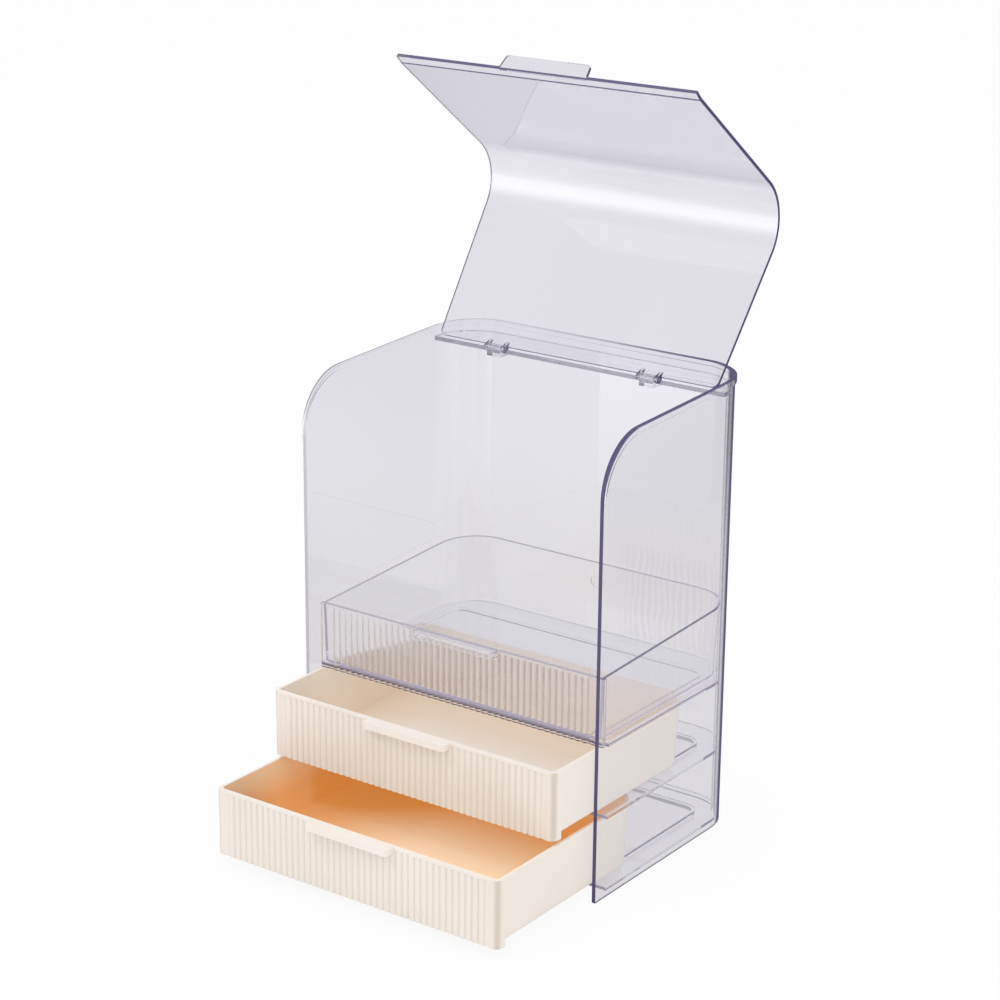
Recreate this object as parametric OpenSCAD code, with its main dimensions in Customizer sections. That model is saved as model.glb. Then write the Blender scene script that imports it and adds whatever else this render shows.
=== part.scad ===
// Dustproof makeup organizer: a clear case open at the front, with a folding
// clear lid, two cream drawers and one clear drawer with reeded fronts.
// +X right, -Y front, +Z up; the origin is on the ground under the case's centre.

/* [Case] */
// Width of the case across its outer walls
case_w = 270; // [230:1:320]
// Depth of the case from its front edges to its back
case_d = 200; // [180:1:230]
// Height at which the front edges start to curve back
front_h = 305; // [290:1:340]
// Radius of the curve at the top of the front edges
arc_r = 46; // [42:1:60]
// Rise of the top edge towards the back, in degrees
top_slope = 2.5; // [1:0.1:4]
// Thickness of the case walls
wall = 3; // [2.4:0.1:4]
// Outer radius of the two rear corners
corner_r = 40; // [34:1:46]
// Height of the raised rim along the top edge
rim_h = 4; // [2:0.1:6]
// How far the rim stands out from the walls
rim_proud = 1.3; // [0.6:0.1:2.5]
// Diameter of the gate mark inside the back wall
gate_d = 10; // [6:0.5:14]
// Depth of the gate mark
gate_depth = 0.6; // [0.3:0.1:1.2]
// Height of the gate mark above the ground
gate_z = 162; // [140:1:220]

/* [Shelves] */
// Thickness of the base plate and of the two shelves
shelf_t = 2.5; // [2:0.1:3.5]
// Height of the base plate above the ground
base_lift = 3.7; // [2:0.1:8]
// Height from one shelf to the next
bay_pitch = 57; // [50:0.5:70]
// Setback of the shelves' front edges from the case's front edges
shelf_setback = 15.5; // [14.5:0.5:30]
// Distance from the side walls to the raised middle of a shelf
runner_inset = 15; // [10:0.5:25]
// Distance from the back wall to the raised middle of a shelf
runner_back = 27; // [20:0.5:40]
// Corner radius of the raised middle
runner_r = 12; // [6:0.5:20]
// Height of the raised middle under the cream drawers
runner_h = 3; // [2.4:0.1:4]
// Height of the raised middle under the clear drawer
clear_runner_h = 0.8; // [0.5:0.1:2]
// Clearance between the shelves and the walls that hold them
seat_gap = 0.15; // [0.1:0.05:0.3]

/* [Drawers] */
// Gap between a drawer's front and the side wall
drawer_side_gap = 2.5; // [1.5:0.1:4]
// Setback of the closed fronts from the case's front edges
front_setback = 11; // [8.5:0.5:12]
// Gap between a closed cream drawer and the back wall
drawer_back_gap = 10; // [8:0.5:60]
// Gap between the closed clear drawer and the back wall
clear_back_gap = 1.2; // [0.8:0.1:20]
// Wall thickness of the cream drawers
drawer_wall = 2.2; // [1.8:0.1:3]
// Wall thickness of the clear drawer
clear_wall = 2.4; // [1.8:0.1:3]
// Thickness of the fronts, reeds included
front_t = 3.4; // [3:0.1:4.5]
// Step from the side of a front to the side of the tray behind it
tray_step = 1; // [0.4:0.1:2]
// Taper of the trays' sides from the rim to the floor
draft = 1.8; // [0.5:0.1:3]
// Depth to which the cream fronts wrap round the tray
front_wrap = 9; // [6:0.5:14]
// Corner radius of the cream fronts
front_r = 6; // [4:0.5:8]
// Corner radius of the clear front
clear_front_r = 1; // [0.6:0.1:2]
// How much smaller the cream trays' rear corner radius is than the case's inner one
tray_corner_ease = 17; // [8:1:18]
// How much smaller the clear tray's rear corner radius is than the case's inner one
clear_corner_ease = 3; // [3:0.5:8]
// Radius along the bottom edge of the trays
floor_r = 3; // [1.5:0.1:4]
// Length by which the cream fronts hang below their trays
front_drop = 2; // [1:0.1:2.4]
// Clearance under the trays
ride_gap = 0.2; // [0.1:0.05:0.4]
// Clearance above the cream drawers
head_gap = 0.7; // [0.5:0.1:3]
// Height of the clear drawer's front
clear_h = 52.6; // [40:0.2:70]
// Rise of the clear drawer's rim towards the back, in degrees
clear_rim_slope = 2.7; // [0.5:0.1:4.5]
// Length by which the clear front hangs below its shelf
clear_drop = 0.3; // [0.1:0.05:0.4]
// How far the lower drawer stands open
lower_out = 123.8; // [0:0.1:140]
// How far the upper drawer stands open
upper_out = 57.2; // [0:0.1:140]

/* [Reeding] */
// Distance from one reed to the next
reed_pitch = 5.6; // [4:0.1:8]
// Depth of the valleys between the reeds
reed_depth = 1.2; // [0.6:0.1:1.6]
// Width of the plain post at each end of a front
post_w = 9.5; // [8:0.5:20]
// Height of the plain band along the top of a front
band_h = 2; // [1:0.1:5]

/* [Pulls] */
// Width of the pulls
pull_w = 75; // [50:1:110]
// Distance that the cream pulls stand out
pull_reach = 8; // [5:0.1:10]
// Distance that the clear pull stands out
clear_pull_reach = 6.5; // [5:0.1:10]
// Height of a pull's front face
pull_h = 5; // [4:0.1:9]
// Wall thickness of the pulls
pull_t = 2; // [1.4:0.1:3]
// Corner radius of the pulls
pull_r = 3; // [2.2:0.1:4.5]

/* [Lid] */
// Thickness of the lid
lid_t = 2.7; // [2:0.1:3.2]
// Gap between the lid and each side wall
lid_side_gap = 0.8; // [0.5:0.1:2]
// Width of the lid at its hinged edge
lid_base_w = 254; // [200:1:258]
// Radius at the corners of the hinged edge
lid_corner_r = 5; // [2:0.5:10]
// Depth of the closed lid's outside below the case's top edge
lid_sink = 0.8; // [0:0.1:2]
// Setback of the closed lid from the case's front edges
lid_setback = 1.2; // [0.5:0.1:3]
// Inner radius of the lid's bend
lid_bend_r = 36.4; // [20:0.2:40]
// Backward lean of the closed lid's front, in degrees
lid_lean = 1.4; // [0:0.1:2.4]
// Gap between the closed lid and the rim of the clear drawer when it is drawn out
lid_end_gap = 0.4; // [0.3:0.1:4]
// Length of the lip that flares out at the lid's free edge
flare_len = 8.2; // [8:0.1:16]
// Angle of the flared lip, in degrees
flare_angle = 9.2; // [5:0.1:20]
// Angle from the closed lid to the open one, in degrees
lid_open = 128; // [0:1:128]
// Width of the handle tab where it meets the lid
tab_w = 76; // [50:1:120]
// Narrowing of the handle tab at each end
tab_taper = 1; // [0:0.5:8]
// Distance that the handle tab stands out
tab_reach = 10.5; // [8:0.5:16]
// Corner radius of the handle tab
tab_r = 2.5; // [2:0.5:6]

/* [Hinge] */
// Distance from the back wall's inner face to the front of the hinge plate
hinge_plate_d = 39; // [38:0.5:60]
// Thickness of the hinge plate
hinge_plate_t = 3.4; // [2.4:0.1:5]
// Distance from the hinge plate's front to the hinge axis
axis_ahead = 3.5; // [3.4:0.1:5]
// Height of the hinge axis above the hinge plate
axis_rise = 1.2; // [1:0.1:2]
// Distance from the lid's inner face to the hinge axis
axis_drop = 2; // [1.8:0.1:2.6]
// Distance from the hinge axis to the lid's hinged edge
lid_edge_ahead = 3.3; // [3.2:0.1:5]
// Distance between the middles of the two hinges
hinge_pitch = 140; // [100:1:180]
// Width of each hinge clip
clip_w = 12.5; // [10:0.5:24]
// Outer radius of the clip's barrel
clip_r = 3.1; // [2.8:0.1:3.2]
// Depth of the clip below the hinge plate
clip_drop = 2; // [1.6:0.1:4]
// Length of the clip's tongue under the hinge plate
clip_tongue = 6; // [3:0.5:12]
// Radius of the hinge pins
pin_r = 1.4; // [1:0.05:1.6]
// Radial clearance of the lid's ears on the pins
pin_gap = 0.05; // [0.02:0.01:0.1]
// Radial clearance of the clips on the pins
pin_seat_gap = 0.02; // [0.01:0.01:0.05]
// Outer radius of the lid's ears
ear_r = 2.9; // [2.6:0.1:3]
// Width of each ear
ear_w = 2.8; // [2.4:0.1:6]
// Gap between an ear and its clip
ear_gap = 0.3; // [0.2:0.1:0.8]
// Radius along the clip's lower front edge
clip_edge_r = 1.2; // [0.6:0.1:1.5]
// Width of the two stop pads on the front of the hinge plate
pad_w = 17; // [8:1:24]
// Distance between the middles of the stop pads
pad_pitch = 41; // [24:1:60]
// How far the stop pads stand out
pad_proud = 0.6; // [0.3:0.1:1]

/* [Hidden] */

$fn = 96;
// fineness of the circles inside a hull
hull_fn = 32;
// overlap that keeps two fused shapes from only touching
eps = 0.01;
clear_tint = [0.80, 0.80, 0.88, 0.45];
cream_tint = [0.94, 0.91, 0.85];

// Case
front_y = -case_d / 2;
inner_w = case_w - 2 * wall;
inner_y = case_d / 2 - wall;
inner_r = corner_r - wall;
arc_y = front_y + arc_r;
arc_end = [arc_y - arc_r * sin(top_slope), front_h + arc_r * cos(top_slope)];
top_z = arc_end[1] + (case_d / 2 - arc_end[0]) * tan(top_slope);

// Shelves
shelf_y = front_y + shelf_setback;
base_z = base_lift;
middle_z = base_z + bay_pitch;
upper_z = middle_z + bay_pitch;

// Drawers
drawer_w = inner_w - 2 * drawer_side_gap;
closed_y = front_y + front_setback;
lower_z = base_z + shelf_t + runner_h + ride_gap;
cream_rise = bay_pitch - head_gap - shelf_t - runner_h - ride_gap;
clear_z = upper_z + shelf_t + clear_runner_h + ride_gap;
clear_bottom = upper_z - clear_drop;
clear_top = clear_bottom + clear_h;
drawer_d = inner_y - closed_y - drawer_back_gap;
clear_d = inner_y - closed_y - clear_back_gap;
tray_r = inner_r - tray_corner_ease;
clear_tray_r = inner_r - clear_corner_ease;
// smallest radius inside a tray
sharp_r = 0.5;
// straight pieces that draw one reed
reed_steps = 6;

// Lid when it is closed, as points [y, z]
lid_w = inner_w - 2 * lid_side_gap;
slope_dir = [-cos(top_slope), -sin(top_slope)];
slope_out = [-sin(top_slope), cos(top_slope)];
front_dir = [sin(lid_lean), -cos(lid_lean)];
front_out = [-cos(lid_lean), -sin(lid_lean)];
flare_turn = lid_lean - flare_angle;
flare_dir = [sin(flare_turn), -cos(flare_turn)];
flare_out = [-cos(flare_turn), -sin(flare_turn)];
bend_y = front_y + lid_setback + lid_t + lid_bend_r;
bend_rise = arc_r - lid_sink - lid_t - lid_bend_r;
bend_z = front_h + (bend_rise + sin(top_slope) * (bend_y - arc_y)) / cos(top_slope);
bend = [bend_y, bend_z];
bend_start = bend + lid_bend_r * slope_out;
bend_end = bend + lid_bend_r * front_out;
// travel of the clear drawer, whose rising rim passes under the closed lid
clear_travel = 140;
lid_end_z = clear_top + clear_travel * tan(clear_rim_slope) + lid_end_gap;
flare_z = lid_end_z - flare_len * flare_dir[1];
flare_start = bend_end + front_dir * (flare_z - bend_end[1]) / front_dir[1];
lid_end = flare_start + flare_len * flare_dir;
// outer point of the mitre where the flared lip starts
flare_corner = flare_start + lid_t * (front_out + flare_out) / (1 + front_out * flare_out);

// Hinge
axis_y = inner_y - hinge_plate_d - axis_ahead;
slope_at_axis = bend_start[1] + (axis_y - bend_start[0]) * tan(top_slope);
axis_z = slope_at_axis - axis_drop / cos(top_slope);
plate_z = axis_z - axis_rise - hinge_plate_t;
lid_edge_y = axis_y - lid_edge_ahead;
lid_edge = bend_start - slope_dir * (lid_edge_y - bend_start[0]) / cos(top_slope);
ear_x = clip_w / 2 + ear_gap;
pin_len = clip_w + 2 * ear_gap + 2 * ear_w;
// length of lid that each ear grows from
ear_root = 4;
// height of the stop pads
pad_h = hinge_plate_t / 2;

// Flat outline from y0 to y1 with its own radii at the front and the rear corners
module plan(w, y0, y1, rf, rr) {
    intersection() {
        translate([-w / 2, y0])
            square([w, y1 - y0]);
        union() {
            translate([-w / 2, y0 + rf])
                square([w, y1 - y0 - rf - rr]);
            if (rf > 0)
                plan_end(w, y0 + rf, -rf, rf);
            if (rr > 0)
                plan_end(w, y1 - rr, rr, rr);
        }
    }
}

// Rounded end of an outline, which runs from y over the given length
module plan_end(w, y, run, r) {
    translate([-w / 2 + r, min(y, y + run) - eps])
        square([w - 2 * r, r + 2 * eps]);
    for (side = [-1, 1])
        translate([side * (w / 2 - r), y])
            circle(r);
}

// Extrudes an outline drawn in [y, z] along X, centred on x = 0
module across(w) {
    rotate([90, 0, 90])
        linear_extrude(w, center = true)
            children();
}

// Side view of the case: straight front, curved corner, sloping top
module case_side() {
    polygon([[front_y, 0], [front_y, front_h], [arc_y, front_h], arc_end,
        [case_d / 2 + rim_proud, top_z + rim_proud * tan(top_slope)],
        [case_d / 2 + rim_proud, 0]]);
    translate([arc_y, front_h])
        circle(arc_r);
}

// Upright wall that runs round the sides and the back
module case_wall(grow) {
    linear_extrude(top_z + wall)
        difference() {
            plan(case_w + 2 * grow, front_y, case_d / 2 + grow, 0, corner_r + grow);
            plan(inner_w, front_y - wall, inner_y, 0, inner_r);
        }
}

module shell() {
    color(clear_tint)
        difference() {
            union() {
                intersection() {
                    case_wall(0);
                    across(case_w + wall)
                        case_side();
                }
                intersection() {
                    case_wall(rim_proud);
                    across(case_w + wall + 2 * rim_proud)
                        difference() {
                            case_side();
                            translate([0, -rim_h])
                                case_side();
                        }
                }
            }
            translate([0, inner_y + gate_depth, gate_z])
                rotate([90, 0, 0])
                    cylinder(d = gate_d, h = wall);
        }
}

// Moulded shelf: a sheet whose middle steps up to carry a drawer
module shelf(step_h) {
    runner_w = inner_w - 2 * runner_inset;
    runner_y = inner_y - runner_back;
    color(clear_tint)
        difference() {
            union() {
                linear_extrude(shelf_t)
                    plan(inner_w - 2 * seat_gap, shelf_y, inner_y - seat_gap, 0, inner_r - seat_gap);
                linear_extrude(shelf_t + step_h)
                    plan(runner_w, shelf_y, runner_y, 0, runner_r);
            }
            translate([0, 0, -eps])
                linear_extrude(step_h + eps)
                    plan(runner_w - 2 * shelf_t, shelf_y + shelf_t, runner_y - shelf_t,
                        0, runner_r - shelf_t);
        }
}

module base_plate() {
    translate([0, 0, base_z])
        shelf(runner_h);
}

module middle_shelf() {
    translate([0, 0, middle_z])
        shelf(runner_h);
}

module upper_shelf() {
    translate([0, 0, upper_z])
        shelf(clear_runner_h);
}

module hinge_plate() {
    plate_y = inner_y - hinge_plate_d;
    color(clear_tint)
        translate([0, 0, plate_z]) {
            linear_extrude(hinge_plate_t)
                plan(inner_w - 2 * seat_gap, plate_y, inner_y - seat_gap, 0, inner_r - seat_gap);
            for (side = [-1, 1])
                translate([side * pad_pitch / 2 - pad_w / 2, plate_y - pad_proud,
                    (hinge_plate_t - pad_h) / 2])
                    cube([pad_w, pad_proud + eps, pad_h]);
        }
}

// Clip that grips the hinge plate's front edge and carries the pin
module hinge_clip(side) {
    plate_y = inner_y - hinge_plate_d;
    foot_z = plate_z - clip_drop;
    color(clear_tint)
        translate([side * hinge_pitch / 2, 0, 0])
            difference() {
                across(clip_w) {
                    hull() {
                        translate([axis_y, axis_z])
                            circle(clip_r, $fn = hull_fn);
                        translate([axis_y - clip_r + clip_edge_r, foot_z + clip_edge_r])
                            circle(clip_edge_r, $fn = hull_fn);
                        translate([axis_y, foot_z])
                            square([plate_y - seat_gap - axis_y, axis_z - foot_z]);
                    }
                    translate([plate_y - seat_gap - eps, foot_z])
                        square([clip_tongue, clip_drop - seat_gap]);
                }
                translate([0, axis_y, axis_z])
                    rotate([0, 90, 0])
                        cylinder(r = pin_r + pin_seat_gap, h = clip_w + 2, center = true);
            }
}

module hinge_clip_left() {
    hinge_clip(-1);
}

module hinge_clip_right() {
    hinge_clip(1);
}

module hinge_pin(side) {
    color(clear_tint)
        translate([side * hinge_pitch / 2, axis_y, axis_z])
            rotate([0, 90, 0])
                cylinder(r = pin_r, h = pin_len, center = true);
}

module hinge_pin_left() {
    hinge_pin(-1);
}

module hinge_pin_right() {
    hinge_pin(1);
}

// Area inside the closed lid's outer face
module lid_outer_area() {
    polygon([lid_edge, lid_edge + lid_t * slope_out, bend_start + lid_t * slope_out, bend,
        bend_end + lid_t * front_out, flare_corner, lid_end + lid_t * flare_out, lid_end]);
    translate(bend)
        circle(lid_bend_r + lid_t);
}

// Area inside the closed lid's inner face, carried on past both ends
module lid_inner_area() {
    polygon([lid_edge - slope_dir, bend_start, bend, bend_end, flare_start, lid_end + flare_dir,
        [lid_edge[0], lid_end[1]]]);
    translate(bend)
        circle(lid_bend_r);
}

// Section of the lid: sloping top, bend, hanging front and flared lip
module lid_section() {
    difference() {
        lid_outer_area();
        lid_inner_area();
    }
}

// Plan of the closed lid, narrower and rounded at the hinged edge
module lid_plan() {
    cut_y = 2 * front_y;
    round_x = lid_base_w / 2 - lid_corner_r;
    polygon(concat(
        [[-lid_w / 2, cut_y], [lid_w / 2, cut_y], [lid_w / 2, bend_start[0]]],
        [for (a = [0:15:90])
            [round_x + lid_corner_r * cos(a), lid_edge[0] - lid_corner_r * (1 - sin(a))]],
        [for (a = [90:15:180])
            [-round_x + lid_corner_r * cos(a), lid_edge[0] - lid_corner_r * (1 - sin(a))]],
        [[-lid_w / 2, bend_start[0]]]));
}

// Handle tab, drawn as x against distance out from the lid
module tab_face() {
    hull() {
        translate([-tab_w / 2, -lid_t / 2])
            square([tab_w, lid_t / 2]);
        for (side = [-1, 1])
            translate([side * (tab_w / 2 - tab_taper - tab_r), tab_reach - tab_r])
                circle(tab_r, $fn = hull_fn);
    }
}

// Ear that joins the lid to its pin
module ear() {
    across(ear_w)
        hull() {
            translate([axis_y, axis_z])
                circle(ear_r, $fn = hull_fn);
            polygon([lid_edge, lid_edge + lid_t / 2 * slope_out,
                lid_edge + ear_root * slope_dir + lid_t / 2 * slope_out,
                lid_edge + ear_root * slope_dir]);
        }
}

module closed_lid() {
    difference() {
        union() {
            intersection() {
                across(lid_w)
                    lid_section();
                linear_extrude(top_z)
                    lid_plan();
            }
            translate([0, lid_end[0], lid_end[1]])
                rotate([180 + flare_turn, 0, 0])
                    translate([0, lid_t, -lid_t])
                        linear_extrude(lid_t)
                            tab_face();
            for (side = [-1, 1])
                for (end = [-1, 1])
                    translate([side * hinge_pitch / 2 + end * (ear_x + ear_w / 2), 0, 0])
                        ear();
        }
        for (side = [-1, 1])
            translate([side * hinge_pitch / 2, axis_y, axis_z])
                rotate([0, 90, 0])
                    cylinder(r = pin_r + pin_gap, h = pin_len + 2, center = true);
    }
}

module lid() {
    color(clear_tint)
        translate([0, axis_y, axis_z])
            rotate([-lid_open, 0, 0])
                translate([0, -axis_y, -axis_z])
                    closed_lid();
}

// Disc with a rounded edge, for a corner at the bottom of a tray
module puck(r, edge) {
    rotate_extrude($fn = hull_fn)
        intersection() {
            translate([r - edge, 0])
                circle(edge, $fn = hull_fn / 2);
            translate([0, -edge])
                square([r, 2 * edge]);
        }
}

// Tapered block with rounded corners and a rounded bottom edge
module tray_block(w, y0, y1, rf, rr, z0, z1, edge) {
    hull() {
        translate([0, 0, z1 - eps])
            linear_extrude(eps)
                plan(w, y0, y1, rf, rr, $fn = hull_fn);
        for (side = [-1, 1]) {
            translate([side * (w / 2 - draft - rr), y1 - draft - rr, z0 + edge])
                puck(rr, edge);
            translate([side * (w / 2 - draft - rf), y0 + rf, z0 + edge])
                puck(rf, edge);
        }
    }
}

function arc_points(c, r, a0, a1) =
    [for (i = [0:6]) c + r * [cos(a0 + (a1 - a0) * i / 6), sin(a0 + (a1 - a0) * i / 6)]];

function reed_line(half) =
    let (count = floor(2 * half / reed_pitch))
    [for (i = [0:count * reed_steps])
        [(i / reed_steps - count / 2) * reed_pitch,
            reed_depth * (1 - abs(sin(180 * i / reed_steps)))]];

// Outline of a drawer's front, plain or reeded
module front_outline(wrap, r, reeded) {
    half = drawer_w / 2;
    polygon(concat(
        [[half, wrap], [-half, wrap]],
        arc_points([-half + r, r], r, 180, 270),
        reeded ? reed_line(half - post_w) : [],
        arc_points([half - r, r], r, 270, 360)));
}

// Pull under the rim, hollow from below; z = 0 is the top of the rim
module pull(reach) {
    difference() {
        translate([0, 0, -pull_h])
            linear_extrude(pull_h)
                plan(pull_w, -reach, reed_depth + eps, pull_r, 0);
        translate([0, 0, -pull_h - eps])
            linear_extrude(pull_h - pull_t)
                plan(pull_w - 2 * pull_t, -reach + pull_t, 0, pull_r - pull_t, 0);
    }
}

// Drawer whose tray floor is z = 0 and whose front is y = 0; its rim rises to the back
module drawer(depth, rise, drop, t, wrap, fr, rr, reach, rim_slope) {
    tray_w = drawer_w - 2 * tray_step;
    tray_fr = max(fr - tray_step, floor_r);
    inner_edge = max(floor_r - t, sharp_r);
    rear_rise = rise + (depth - front_t) * tan(rim_slope);
    difference() {
        union() {
            translate([0, 0, -drop])
                linear_extrude(rise + drop - band_h)
                    front_outline(wrap, fr, true);
            translate([0, 0, rise - band_h])
                linear_extrude(band_h)
                    front_outline(wrap, fr, false);
            tray_block(tray_w, front_t / 2, depth, tray_fr, rr, 0, rear_rise, floor_r);
            translate([0, 0, rise])
                pull(reach);
        }
        tray_block(tray_w - 2 * t, front_t, depth - t, tray_fr - t, rr - t, t, rear_rise + eps,
            inner_edge);
        if (rim_slope > 0)
            across(drawer_w)
                polygon([[0, rise], [front_t, rise], [depth, rear_rise],
                    [depth, rear_rise + eps], [0, rear_rise + eps]]);
        if (wrap > front_t)
            translate([0, 0, -drop - eps])
                linear_extrude(drop)
                    plan(drawer_w - 2 * t, front_t, wrap + eps, fr - t, 0);
    }
}

module cream_drawer(out, z) {
    color(cream_tint)
        translate([0, closed_y - out, z])
            drawer(drawer_d, cream_rise, front_drop, drawer_wall, front_wrap, front_r, tray_r,
                pull_reach, 0);
}

module lower_drawer() {
    cream_drawer(lower_out, lower_z);
}

module upper_drawer() {
    cream_drawer(upper_out, lower_z + bay_pitch);
}

module clear_drawer() {
    color(clear_tint)
        translate([0, closed_y, clear_z])
            drawer(clear_d, clear_top - clear_z, clear_z - clear_bottom, clear_wall, front_t,
                clear_front_r, clear_tray_r, clear_pull_reach, clear_rim_slope);
}

shell();
base_plate();
middle_shelf();
upper_shelf();
hinge_plate();
hinge_clip_left();
hinge_clip_right();
hinge_pin_left();
hinge_pin_right();
lid();
clear_drawer();
upper_drawer();
lower_drawer();
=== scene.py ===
import math

import bpy
from mathutils import Matrix, Vector


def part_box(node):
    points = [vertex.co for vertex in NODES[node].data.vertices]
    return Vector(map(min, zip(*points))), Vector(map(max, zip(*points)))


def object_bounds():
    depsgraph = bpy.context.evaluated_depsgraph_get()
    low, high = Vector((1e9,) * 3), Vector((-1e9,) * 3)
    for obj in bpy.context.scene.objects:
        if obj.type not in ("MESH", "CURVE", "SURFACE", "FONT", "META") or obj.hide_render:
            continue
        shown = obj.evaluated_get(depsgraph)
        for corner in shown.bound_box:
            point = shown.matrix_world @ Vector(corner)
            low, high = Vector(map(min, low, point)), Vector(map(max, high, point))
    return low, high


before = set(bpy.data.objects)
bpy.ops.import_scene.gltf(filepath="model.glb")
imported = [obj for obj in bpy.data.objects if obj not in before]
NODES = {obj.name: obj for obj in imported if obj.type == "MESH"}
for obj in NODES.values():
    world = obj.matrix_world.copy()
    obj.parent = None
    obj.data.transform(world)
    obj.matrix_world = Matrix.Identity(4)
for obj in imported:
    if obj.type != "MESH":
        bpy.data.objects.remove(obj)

CAD_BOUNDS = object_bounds()


# ---------------------------------------------------------------- node helpers
class Tree:
    """A short way to write node trees."""

    def __init__(self, tree):
        self.t = tree
        tree.nodes.clear()

    def node(self, kind, inputs=None, **props):
        n = self.t.nodes.new(kind)
        for k, v in props.items():
            setattr(n, k, v)
        for k, v in (inputs or {}).items():
            self.put(v, n.inputs[k])
        return n

    def put(self, value, socket):
        if isinstance(value, bpy.types.NodeSocket):
            self.t.links.new(value, socket)
        else:
            socket.default_value = value

    def math(self, op, *values):
        n = self.node("ShaderNodeMath", operation=op)
        for i, v in enumerate(values):
            self.put(v, n.inputs[i])
        return n.outputs[0]

    def mix(self, factor, a, b):
        n = self.node("ShaderNodeMix", data_type="RGBA")
        self.put(factor, n.inputs[0])
        self.put(a, n.inputs[6])
        self.put(b, n.inputs[7])
        return n.outputs[2]

    def span(self, value, low, high, out_low=0.0, out_high=1.0, smooth=True):
        n = self.node("ShaderNodeMapRange",
                      {0: value, 1: low, 2: high, 3: out_low, 4: out_high},
                      interpolation_type="SMOOTHSTEP" if smooth else "LINEAR")
        return n.outputs[0]

    def noise(self, scale, detail, roughness, vector):
        n = self.node("ShaderNodeTexNoise",
                      {"Scale": scale, "Detail": detail, "Roughness": roughness, "Vector": vector})
        return n.outputs["Fac"]


def lin(r, g, b):
    """An sRGB colour of 0..255 as linear RGBA."""
    f = lambda c: c / 12.92 if c <= 0.04045 else ((c + 0.055) / 1.055) ** 2.4
    return (f(r / 255), f(g / 255), f(b / 255), 1.0)


def place(t):
    """Object space in metres, and its three parts. The object's origin is the frame's."""
    co = t.node("ShaderNodeTexCoord").outputs["Object"]
    xyz = t.node("ShaderNodeSeparateXYZ", {0: co})
    return co, xyz.outputs[0], xyz.outputs[1], xyz.outputs[2]


# ---------------------------------------------------------------- materials
NAVY_EDGE_SHADE = lin(72, 64, 104)            # painted shade on the cut edges
PALE_EDGE_LIGHT = lin(206, 205, 211)          # painted light on the shell's cut edges at the far left
NAVY_GRAZE_SHADE = (0.50, 0.485, 0.585, 1.0)  # painted shade: navy tint of faces seen almost edge on
LAVENDER = (0.62, 0.60, 0.76, 1.0)      # what builds up along a sheet
# painted light: pale streaks refracted through the clear drawer's reeds
STREAK_LIGHT = (0.90, 0.90, 0.92, 1.0)
# painted shade where light is trapped in a sheet
TRAPPED_SHADE = (0.0, 0.0, 0.0, 1.0)

# places on the object, in metres in the shared frame
ACROSS = (-0.1, 0.1)        # X, from the left to the right, over which the edges' painted shade grows stronger
WALL_OUT = 0.1351           # X of the side walls' outer faces, inside the rim
BACK_START = 0.085          # Y where the back wall's edges begin
CORNER_START = 0.055        # Y where the rear corners begin
BACK_INNER = 0.09           # Y just before the back wall
SHELF_EDGE = (0.108, 0.119)     # heights between which only the upper shelf has its front edge
CLEAR_RIM = 0.1675          # the clear drawer's rim is above this
CLEAR_UNDER = 0.1185        # the underside of the clear drawer's front is below this
CLEAR_FRONT = -0.0925       # the ends of the clear drawer's front are before this
CREAM_FLOOR = 0.0042        # thickness of a cream drawer's floor
CREAM_PULL = 0.008          # from a cream drawer's foremost point to its front face
REED_PITCH = 0.0056

# light that has passed more faces or mirrors than this is taken to be trapped in a sheet
MOST_FACES = 17.5
MOST_MIRRORS = 4.5


def both(t, *masks):
    """All of the masks together."""
    out = masks[0]
    for m in masks[1:]:
        out = t.math("MULTIPLY", out, m)
    return out


def shell_edge_shade(t, n, x, y, z, facing):
    """Painted navy shade on the cut edges of the shell's walls, strongest on the right, and on its rear corners where
    they turn away from the view.
    """
    wide_y = t.math("ABSOLUTE", n[1])
    wide_x = t.math("ABSOLUTE", n[0])
    side = both(t, t.math("LESS_THAN", wide_x, 0.5), t.math("LESS_THAN", y, BACK_START))
    top = t.math("GREATER_THAN", t.math("ABSOLUTE", n[2]), 0.5)
    within = t.math("MAXIMUM", t.math("LESS_THAN", t.math("ABSOLUTE", x), WALL_OUT),
                    t.math("GREATER_THAN", y, BACK_START))
    cut = both(t, t.math("MAXIMUM", side, top), within, t.span(x, *ACROSS, 0.60, 0.95))
    rounded = t.span(t.math("MINIMUM", wide_x, wide_y), 0.02, 0.15)
    corner = both(t, rounded, t.math("GREATER_THAN", y, CORNER_START), t.span(facing, 0.56, 0.78), 0.95)
    return t.math("MAXIMUM", cut, corner)


def plate_edge_shade(t, n, x, y, z, facing):
    """Painted navy shade on the front edges of the plates between the walls, strongest on the upper shelf."""
    upper_shelf = both(t, t.math("GREATER_THAN", z, SHELF_EDGE[0]), t.math("LESS_THAN", z, SHELF_EDGE[1]), 0.45)
    strength = t.math("ADD", t.span(z, 0.2, 0.3, 0.5, 0.60), upper_shelf)
    return t.math("MULTIPLY", t.math("LESS_THAN", n[1], -0.7), strength)


def lid_edge_shade(t, n, x, y, z, facing):
    """Painted navy shade on the lid's two side edges, a little stronger on the right."""
    sides = t.math("GREATER_THAN", t.math("ABSOLUTE", n[0]), 0.7)
    return t.math("MULTIPLY", sides, t.span(x, *ACROSS, 0.80, 0.97))


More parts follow.
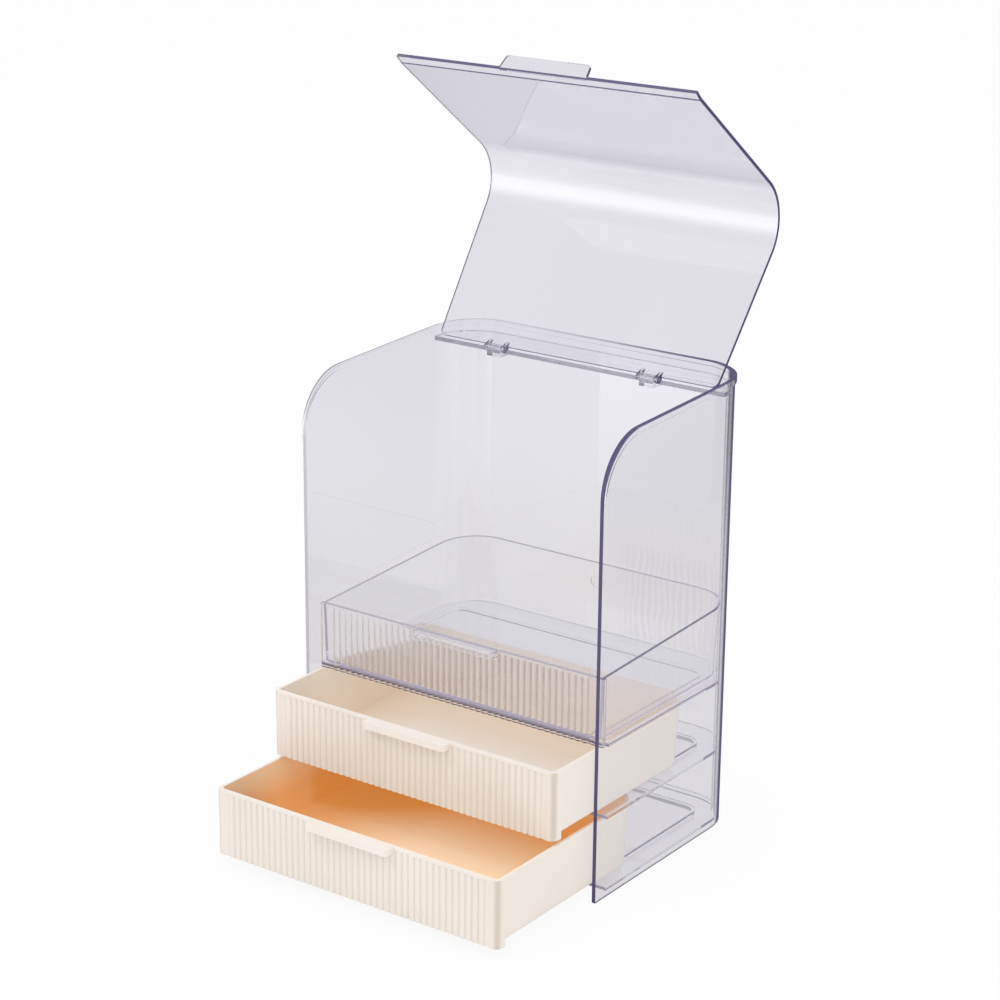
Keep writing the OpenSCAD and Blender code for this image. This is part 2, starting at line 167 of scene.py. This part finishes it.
def drawer_edge_shade(t, n, x, y, z, facing):
    """Painted navy shade on the clear drawer's rim, strongest at its right end, on the bottom edge of its front and
    on the front's two ends.
    """
    rim = both(t, t.math("GREATER_THAN", n[2], 0.7), t.math("GREATER_THAN", z, CLEAR_RIM),
               t.span(x, 0.118, 0.127, 0.22, 0.95))
    under = both(t, t.math("LESS_THAN", n[2], -0.7), t.math("LESS_THAN", z, CLEAR_UNDER), 0.95)
    ends = both(t, t.math("GREATER_THAN", t.math("ABSOLUTE", n[0]), 0.9), t.math("LESS_THAN", y, CLEAR_FRONT), 0.20)
    return t.math("MAXIMUM", rim, t.math("MAXIMUM", under, ends))


def reed_wave(t, across):
    """0 along the valleys between the reeds, 1 along their crests."""
    return t.math("ABSOLUTE", t.math("SINE", t.math("MULTIPLY", across, math.pi / REED_PITCH)))


def reed_refraction_paint(t, n, x, y, z):
    """Painted light: faint wavy upright streaks of light refracted through the clear drawer's reeds, on the back wall
    behind them.
    """
    on_wall = t.node("ShaderNodeCombineXYZ", {0: x, 2: z}).outputs[0]
    bend = t.math("MULTIPLY", t.noise(38.0, 1.0, 0.4, on_wall), 0.010)
    wave = reed_wave(t, t.math("ADD", x, bend))
    where = both(t, t.math("GREATER_THAN", t.math("ABSOLUTE", n[1]), 0.9), t.math("GREATER_THAN", y, BACK_INNER),
                 t.span(x, 0.010, 0.040), t.span(z, 0.112, 0.130), t.span(z, 0.188, 0.205, 1.0, 0.0))
    return both(t, where, t.span(wave, 0.2, 0.8), 0.80)


def clear_plastic(name, density, flow, haze=0.012, tint=(0.975, 0.975, 0.98, 1.0), edges=None, graze=(0.86, 1.0),
                  trapped=(0.15, 0.13, 0.23, 1.0), image=None, edge_left=NAVY_EDGE_SHADE):
    """Clear moulded plastic: refracting, with a faint colour that builds up along the sheet, soft flow lines in the
    surface from the moulding, and slight haze. Cut edges (the mask edges) get a painted navy shade, with painted
    light from edge_left at the left, and faces turned away between the two graze values get a painted navy shade. The
    mask image paints pale streaks of refracted light. Where light stays trapped in the sheet, painted black shade
    with an emitted glow in the colour trapped stands in for it. Shadow and diffuse rays pass straight through."""
    mat = bpy.data.materials.new(name)
    mat.use_nodes = True
    t = Tree(mat.node_tree)
    co, x, y, z = place(t)
    n = t.node("ShaderNodeSeparateXYZ", {0: t.node("ShaderNodeNewGeometry").outputs["Normal"]}).outputs
    path = t.node("ShaderNodeLightPath")
    # flow lines: long soft waves across the sheet, with a finer ripple on them
    stretched = t.node("ShaderNodeMapping", {"Vector": co, "Scale": flow}).outputs[0]
    waves = t.noise(9.0, 1.0, 0.4, stretched)
    ripple = t.noise(60.0, 2.0, 0.5, co)
    height = t.math("ADD", waves, t.math("MULTIPLY", ripple, 0.05))
    bump = t.node("ShaderNodeBump", {"Strength": 0.12, "Distance": 0.0012, "Height": height})
    rough = t.span(t.noise(26.0, 3.0, 0.6, co), 0.35, 0.75, haze * 0.4, haze * 1.6)
    lighter = tuple(min(1.0, c * 1.02) for c in tint[:3]) + (1.0,)
    body = t.mix(t.span(waves, 0.3, 0.7), tint, lighter)
    facing = t.node("ShaderNodeLayerWeight", {"Blend": 0.5}).outputs["Facing"]
    # painted shade: navy on faces seen almost edge on
    body = t.mix(t.span(facing, *graze), body, NAVY_GRAZE_SHADE)
    if image:
        # painted light: pale refracted streaks
        body = t.mix(image(t, n, x, y, z), body, STREAK_LIGHT)
    open_part = both(t, t.math("LESS_THAN", path.outputs["Ray Depth"], MOST_FACES),
                     t.math("LESS_THAN", path.outputs["Glossy Depth"], MOST_MIRRORS))
    lost = t.math("SUBTRACT", 1.0, open_part)
    gloss = 0.5
    if edges:
        cut = edges(t, n, x, y, z, facing)
        # painted shade: navy on the cut edges, stronger to the right, with painted light on the pale edges at the far
        # left
        body = t.mix(cut, body, t.mix(t.span(x, *ACROSS), edge_left, NAVY_EDGE_SHADE))
        rough = t.math("ADD", rough, t.math("MULTIPLY", cut, 0.25))
        open_part = t.math("MULTIPLY", open_part, t.math("SUBTRACT", 1.0, cut))
        gloss = t.span(cut, 0.3, 0.9, 0.5, 0.0)
    # painted shade and glow: black where light is trapped in the sheet, with an emitted glow in the trapped colour
    body = t.mix(lost, body, TRAPPED_SHADE)
    glass = t.node("ShaderNodeBsdfPrincipled", {
        "Base Color": body, "Roughness": rough, "IOR": 1.49, "Transmission Weight": open_part,
        "Specular IOR Level": gloss, "Normal": bump.outputs[0], "Emission Color": trapped, "Emission Strength": lost})
    clear = t.node("ShaderNodeBsdfTransparent", {"Color": (0.96, 0.96, 0.97, 1.0)})
    passes = t.math("MAXIMUM", path.outputs["Is Shadow Ray"], path.outputs["Is Diffuse Ray"])
    surface = t.node("ShaderNodeMixShader", {0: passes, 1: glass.outputs[0], 2: clear.outputs[0]})
    inner = t.node("ShaderNodeVolumeAbsorption", {"Color": LAVENDER, "Density": density})
    t.node("ShaderNodeOutputMaterial", {"Surface": surface.outputs[0], "Volume": inner.outputs[0]})
    return mat


def cream_plastic(name, node, warm, deep, back, left, glow):
    """Satin cream plastic. Inside the tray the colour goes from warm to deep, a painted shade with painted warm
    bounce light, over the two Y values of back and, by the third value of left, over that one's two X values, and
    deeper lower down. glow has the two Y values over which an emitted painted glow stands in for light that comes
    through the walls, and how much. Outside, shade is painted into the reeds' valleys and at the corners."""
    low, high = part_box(node)
    floor = low[2] + CREAM_FLOOR
    front = low[1] + CREAM_PULL
    mat = bpy.data.materials.new(name)
    mat.use_nodes = True
    t = Tree(mat.node_tree)
    co, x, y, z = place(t)
    normal = t.node("ShaderNodeNewGeometry").outputs["Normal"]
    cloud = t.noise(14.0, 3.0, 0.55, co)
    grain = t.noise(900.0, 2.0, 0.6, co)
    outer = t.mix(t.span(cloud, 0.3, 0.7), lin(240, 232, 222), lin(244, 236, 227))
    # painted shade in the valleys between the reeds, on the front face only
    valley_shade = both(t, t.span(y, front + 0.0001, front + 0.0016, 1.0, 0.0, smooth=False),
                  t.span(t.math("ABSOLUTE", x), 0.117, 0.1185, 1.0, 0.0, smooth=False),
                  t.span(z, high[2] - 0.0025, high[2] - 0.002, 1.0, 0.0, smooth=False),
                  t.span(y, front - 0.0012, front - 0.0008, smooth=False),
                  t.span(reed_wave(t, x), 0.75, 0.1), 0.9)
    outer = t.mix(valley_shade, outer, lin(214, 206, 195))
    # painted shade: the rounded corners beside the front, a little darker
    n = t.node("ShaderNodeSeparateXYZ", {0: normal}).outputs
    turn = t.math("MINIMUM", t.math("ABSOLUTE", n[0]), t.math("MULTIPLY", n[1], -1.0))
    turn = both(t, t.span(turn, 0.05, 0.75), t.span(t.math("ABSOLUTE", x), 0.1195, 0.1235), 0.8)
    outer = t.mix(turn, outer, lin(204, 191, 177))
    # inside: what faces the middle of the tray
    middle = t.node("ShaderNodeVectorMath", {0: co, 1: (0.0, (low[1] + high[1]) / 2, high[2] - 0.02)},
                    operation="SUBTRACT").outputs[0]
    facing = t.node("ShaderNodeVectorMath", {0: middle, 1: normal}, operation="DOT_PRODUCT").outputs["Value"]
    inside = t.math("MULTIPLY", t.math("LESS_THAN", facing, 0.0),
                    t.span(y, front + 0.0025, front + 0.003, smooth=False))
    # painted shade and warm bounce light inside the tray: deeper towards the back and the left, and lower down
    low_down = t.span(z, floor + 0.014, high[2], 1.0, 0.25)
    along = t.math("ADD", t.span(y, *back, smooth=False), t.math("MULTIPLY", t.span(x, *left[:2]), left[2]))
    inner = t.mix(t.math("MULTIPLY", t.math("MINIMUM", along, 1.0), low_down), warm, deep)
    base = t.mix(inside, outer, inner)
    rough = t.span(cloud, 0.3, 0.7, 0.34, 0.42)
    bump = t.node("ShaderNodeBump", {"Strength": 0.06, "Distance": 0.0002, "Height": grain})
    # painted glow: emission standing in for light that comes through the thin walls, where the tray is covered from
    # above
    through = both(t, inside, t.span(y, *glow[:2]), t.span(z, floor + 0.004, high[2] + 0.01, 1.0, 0.35), glow[2])
    bsdf = t.node("ShaderNodeBsdfPrincipled", {
        "Base Color": base, "Roughness": rough, "IOR": 1.46, "Normal": bump.outputs[0],
        "Emission Color": inner, "Emission Strength": through})
    t.node("ShaderNodeOutputMaterial", {"Surface": bsdf.outputs[0]})
    return mat


case_clear = clear_plastic("case_clear", 10.0, (1.0, 1.0, 0.25), edges=shell_edge_shade, image=reed_refraction_paint,
                           edge_left=PALE_EDGE_LIGHT)
plate_clear = clear_plastic("plate_clear", 10.0, (1.0, 1.0, 1.0), edges=plate_edge_shade)
lid_clear = clear_plastic("lid_clear", 5.0, (1.0, 0.4, 0.4), edges=lid_edge_shade, graze=(0.36, 0.85))
drawer_clear = clear_plastic("drawer_clear", 5.0, (1.0, 1.0, 0.4), tint=(0.99, 0.99, 0.99, 1.0), edges=drawer_edge_shade,
                             trapped=(0.34, 0.31, 0.38, 1.0))
hinge_clear = clear_plastic("hinge_clear", 15.0, (1.0, 1.0, 1.0), haze=0.16)

lower_cream = cream_plastic("lower_cream", "lower_drawer", lin(240, 219, 190), lin(214, 153, 82),
                            (-0.112, -0.035), (0.0, -0.115, 0.85), (-0.200, -0.140, 0.36))
upper_cream = cream_plastic("upper_cream", "upper_drawer", lin(236, 226, 212), lin(231, 213, 190),
                            (-0.060, -0.020), (-0.060, -0.125, 0.8), (-0.140, -0.080, 0.11))


def wear(node, mat):
    """Puts a material in every slot of a CAD node's object."""
    obj = NODES[node]
    for s in obj.material_slots:
        s.link = "OBJECT"
        s.material = mat


PLATES = ("base_plate", "middle_shelf", "upper_shelf", "hinge_plate")
wear("shell", case_clear)
for plate in PLATES:
    wear(plate, plate_clear)
wear("lid", lid_clear)
wear("clear_drawer", drawer_clear)
for small in ("hinge_clip_left", "hinge_clip_right", "hinge_pin_left", "hinge_pin_right"):
    wear(small, hinge_clear)
wear("lower_drawer", lower_cream)
wear("upper_drawer", upper_cream)


def soften(node):
    """Rounds a moulded part's sharp edges a little, so that they catch the light."""
    m = NODES[node].modifiers.new("soft_edges", "BEVEL")
    m.width = EDGE_RADIUS
    m.segments = 2
    m.limit_method = "ANGLE"
    m.angle_limit = math.radians(40)
    m.harden_normals = True
    m.use_clamp_overlap = True


EDGE_RADIUS = 0.0004
for sheet in ("shell", *PLATES, "lid"):
    soften(sheet)


# ---------------------------------------------------------------- floor, world and lamps
# brightness that the plastic sees around it, by compass angle in degrees (0 in front, 90 on the right): bright behind
# and front left as in the photograph, darker to the rear right, with dark upright strips that draw curved edges
AROUND = ((0, 0.78), (14, 0.78), (22, 0.12), (30, 0.78), (60, 0.78), (67, 0.12), (75, 0.78), (103, 0.78), (112, 0.12),
          (121, 0.40), (132, 0.22), (180, 0.18), (197, 0.97), (232, 1.0), (242, 0.12), (256, 0.78), (284, 0.78),
          (292, 0.12), (300, 0.92), (332, 0.95), (341, 0.12), (349, 0.78), (360, 0.78))
BACKDROP = (0.81, 0.80, 0.86)
CEILING = (0.36, 0.35, 0.42, 1.0)
NEAR = (0.75, 0.735, 0.755, 1.0)        # the floor close by, as the plastic sees it
SOFT_LIGHT = (5.5, 5.5, 5.5, 1.0)       # only mirrored in the plastic
WHITE = (1.0, 1.0, 1.0, 1.0)
FLOOR_HALF = 6.0
FLOOR_DROP = 0.0003                     # the floor lies this far below the case
FLOOR_WHITE = 0.92                      # how much of the floor the camera sees as plain white
FLOOR_ROOM = 0.85                       # how much of it the plastic sees as the room


def round_about(t, x, y):
    """The colour that the plastic sees towards (x, y)."""
    angle = t.math("ARCTAN2", x, t.math("MULTIPLY", y, -1.0))
    turn = t.math("FRACT", t.math("ADD", t.math("DIVIDE", angle, 2 * math.pi), 1.0))
    ramp = t.node("ShaderNodeValToRGB", {0: turn})
    stops = ramp.color_ramp.elements
    ramp.color_ramp.interpolation = "EASE"
    while len(stops) > 1:
        stops.remove(stops[-1])
    for i, (degrees, level) in enumerate(AROUND):
        stop = stops[0] if i == 0 else stops.new(degrees / 360)
        stop.position = degrees / 360
        stop.color = tuple(c * level for c in BACKDROP) + (1.0,)
    return ramp.outputs[0]


def front_left(t, x, y):
    """1 towards the soft light in the front left, fading to both sides."""
    flat = t.math("SQRT", t.math("ADD", t.math("MULTIPLY", x, x), t.math("MULTIPLY", y, y)))
    along = t.math("SUBTRACT", t.math("MULTIPLY", x, -0.62), t.math("MULTIPLY", y, 0.785))
    return t.span(t.math("DIVIDE", along, flat), 0.70, 0.98)


def surroundings():
    """A pale floor and a world that read white behind the object, and as a soft lavender grey room with dark strips
    through and in the plastic."""
    world = bpy.data.worlds.new("studio")
    bpy.context.scene.world = world
    world.use_nodes = True
    t = Tree(world.node_tree)
    path = t.node("ShaderNodeLightPath")
    to_camera = path.outputs["Is Camera Ray"]
    in_plastic = t.math("MAXIMUM", path.outputs["Is Transmission Ray"], path.outputs["Is Glossy Ray"])
    way = t.node("ShaderNodeSeparateXYZ", {0: t.node("ShaderNodeTexCoord").outputs["Generated"]})
    height = t.span(way.outputs[2], 0.24, 0.70)
    room = t.mix(height, round_about(t, way.outputs[0], way.outputs[1]), CEILING)
    glow = both(t, t.span(way.outputs[2], 0.0, 0.45, 1.0, 0.0), front_left(t, way.outputs[0], way.outputs[1]),
                path.outputs["Is Glossy Ray"], path.outputs["Is Reflection Ray"])
    room = t.mix(glow, room, SOFT_LIGHT)
    plain = t.node("ShaderNodeBackground", {"Color": (0.99, 0.99, 0.99, 1.0), "Strength": 1.0})
    seen_in = t.node("ShaderNodeBackground", {"Color": room, "Strength": 1.0})
    white = t.node("ShaderNodeBackground", {"Color": WHITE, "Strength": 1.0})
    light = t.node("ShaderNodeMixShader", {0: in_plastic, 1: plain.outputs[0], 2: seen_in.outputs[0]})
    shown = t.node("ShaderNodeMixShader", {0: to_camera, 1: light.outputs[0], 2: white.outputs[0]})
    t.node("ShaderNodeOutputWorld", {"Surface": shown.outputs[0]})

    mesh = bpy.data.meshes.new("floor")
    corners = [(-FLOOR_HALF, -FLOOR_HALF, 0), (FLOOR_HALF, -FLOOR_HALF, 0), (FLOOR_HALF, FLOOR_HALF, 0),
               (-FLOOR_HALF, FLOOR_HALF, 0)]
    mesh.from_pydata(corners, [], [(0, 1, 2, 3)])
    floor = bpy.data.objects.new("floor", mesh)
    floor.location.z = CAD_BOUNDS[0][2] - FLOOR_DROP
    bpy.context.scene.collection.objects.link(floor)
    mat = bpy.data.materials.new("floor")
    mat.use_nodes = True
    t = Tree(mat.node_tree)
    co, x, y, z = place(t)
    path = t.node("ShaderNodeLightPath")
    off = t.node("ShaderNodeVectorMath", {0: co}, operation="LENGTH").outputs["Value"]
    matt = t.node("ShaderNodeBsdfDiffuse", {"Color": (0.84, 0.84, 0.84, 1.0)})
    white = t.node("ShaderNodeEmission", {"Color": WHITE, "Strength": 1.0})
    around = t.mix(t.span(off, 0.50, 1.20), NEAR, round_about(t, x, y))
    glow = both(t, t.span(off, 0.35, 2.2), front_left(t, x, y),
                path.outputs["Is Glossy Ray"], path.outputs["Is Reflection Ray"])
    around = t.mix(glow, around, SOFT_LIGHT)
    grey = t.node("ShaderNodeEmission", {"Color": around, "Strength": 1.0})
    to_camera = t.math("MULTIPLY", path.outputs["Is Camera Ray"], FLOOR_WHITE)
    in_plastic = t.math("MAXIMUM", path.outputs["Is Transmission Ray"], path.outputs["Is Glossy Ray"])
    in_plastic = t.math("MULTIPLY", in_plastic, FLOOR_ROOM)
    light = t.node("ShaderNodeMixShader", {0: to_camera, 1: matt.outputs[0], 2: white.outputs[0]})
    shown = t.node("ShaderNodeMixShader", {0: in_plastic, 1: light.outputs[0], 2: grey.outputs[0]})
    t.node("ShaderNodeOutputMaterial", {"Surface": shown.outputs[0]})
    mesh.materials.append(mat)


LAMP_SIZE = 1.2
LAMP_AIM = Vector((0, 0, 0.2))


def lamp(name, at, watts):
    """A square soft light that shines on the object and isn't seen in the plastic itself."""
    data = bpy.data.lights.new(name, "AREA")
    data.shape = "RECTANGLE"
    data.size = data.size_y = LAMP_SIZE
    data.energy = watts
    obj = bpy.data.objects.new(name, data)
    obj.location = at
    obj.rotation_euler = (LAMP_AIM - Vector(at)).to_track_quat("-Z", "Y").to_euler()
    obj.visible_glossy = False
    obj.visible_transmission = False
    bpy.context.scene.collection.objects.link(obj)


surroundings()
lamp("key", (-0.60, -1.40, 2.4), 9.2)
lamp("fill", (1.9, -0.9, 1.2), 3.3)


# ---------------------------------------------------------------- camera
# the photograph's own viewpoint, fitted to its edges: degrees, pixels and metres
AZIMUTH, ELEVATION, ROLL = 35.758, 18.305, 0.547
FOCAL_PX, FRAME_PX = 2661.6, 1000.0
AIM = Vector((-0.02545, 0.0, 0.24979))
DISTANCE = 2.01807
SENSOR = 36.0


def camera():
    """The camera at the photograph's viewpoint."""
    az, el, roll = math.radians(AZIMUTH), math.radians(ELEVATION), math.radians(ROLL)
    back = Vector((math.sin(az) * math.cos(el), -math.cos(az) * math.cos(el), math.sin(el)))
    right = Vector((math.cos(az), math.sin(az), 0.0))
    up = back.cross(right)
    side = math.cos(roll) * right + math.sin(roll) * up
    top = -math.sin(roll) * right + math.cos(roll) * up
    data = bpy.data.cameras.new("camera")
    data.sensor_width = SENSOR
    data.lens = SENSOR * FOCAL_PX / FRAME_PX
    data.clip_end = 50.0
    obj = bpy.data.objects.new("camera", data)
    m = Matrix((side, top, back)).transposed().to_4x4()
    m.translation = AIM + DISTANCE * back
    obj.matrix_world = m
    bpy.context.scene.collection.objects.link(obj)
    bpy.context.scene.camera = obj


camera()
scene = bpy.context.scene
scene.view_settings.view_transform = "Standard"
scene.cycles.max_bounces = 28
scene.cycles.transmission_bounces = 28
scene.cycles.transparent_max_bounces = 40
scene.cycles.glossy_bounces = 8
scene.cycles.diffuse_bounces = 4
